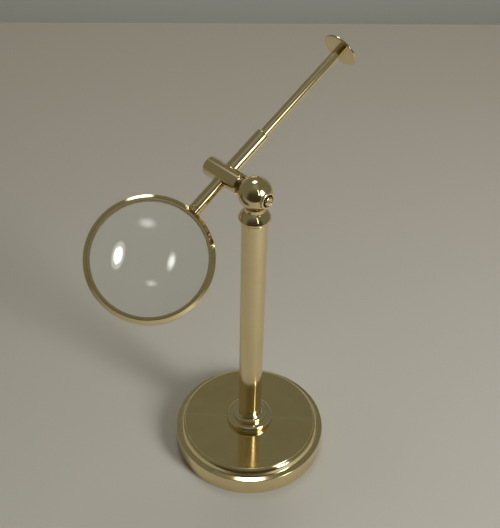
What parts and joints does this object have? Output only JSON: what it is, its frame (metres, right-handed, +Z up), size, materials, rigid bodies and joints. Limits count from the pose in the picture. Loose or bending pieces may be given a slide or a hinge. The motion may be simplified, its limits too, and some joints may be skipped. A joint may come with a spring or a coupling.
{
  "type": "stand magnifier",
  "caption": "Polished brass stand magnifier: framed lens on a sliding arm through a crossbar, on a swivelling ball head, column and weighted round base.",
  "frame": {"origin": "middle of the flat underside of the base felt, under the column's axis", "axes": "+Z up along the column; +Y along the crossbar, away from the ball; +X the way the arm's disc end points; the lens end points towards -X"},
  "size_m": [0.2342, 0.1357, 0.3298],
  "materials": {
    "brass": "polished",
    "steel": "plain turned",
    "iron": "as cast",
    "baize": "green baize",
    "lens_glass": "ground and polished"
  },
  "bodies": {
    "stand": {"base_shell": "brass", "base_weight": "iron", "base_felt": "baize", "foot_collar": "brass", "foot_stud": "steel", "foot_washer": "steel", "foot_nut": "steel", "foot_plug": "brass", "column_tube": "brass", "column_cap": "brass"},
    "head": {"knuckle_ball": "brass", "swivel_washer": "steel", "swivel_nut": "steel"},
    "arm_carrier": {"crossbar": "brass", "thrust_washer": "brass", "screw_washer": "steel", "pivot_screw": "brass", "sleeve_tube": "brass", "sleeve_ring": "brass"},
    "arm_guide": {"guide_tube": "brass"},
    "lens_arm": {"slide_rod": "brass", "finger_disc": "brass", "rod_ferrule": "brass", "lens_frame": "brass", "retaining_ring": "brass", "lens": "lens_glass"}
  },
  "joints": [
    {"name": "head_swivel", "type": "hinge", "parent": "stand", "child": "head", "pos_m": [0, 0, 0.2411], "axis": [0, 0, 1], "continuous": true},
    {"name": "crossbar_tilt", "type": "hinge", "parent": "head", "child": "arm_carrier", "pos_m": [0, 0, 0.2542], "axis": [0, 1, 0], "range_deg": [-20, 258]},
    {"name": "lens_turn", "type": "hinge", "parent": "arm_carrier", "child": "arm_guide", "pos_m": [0, 0.03085, 0.2542], "axis": [0.8734, 0, 0.4869], "continuous": true},
    {"name": "lens_slide", "type": "slide", "parent": "arm_guide", "child": "lens_arm", "axis": [-0.8734, 0, -0.4869], "range_m": [0, 0.087]}
  ]
}
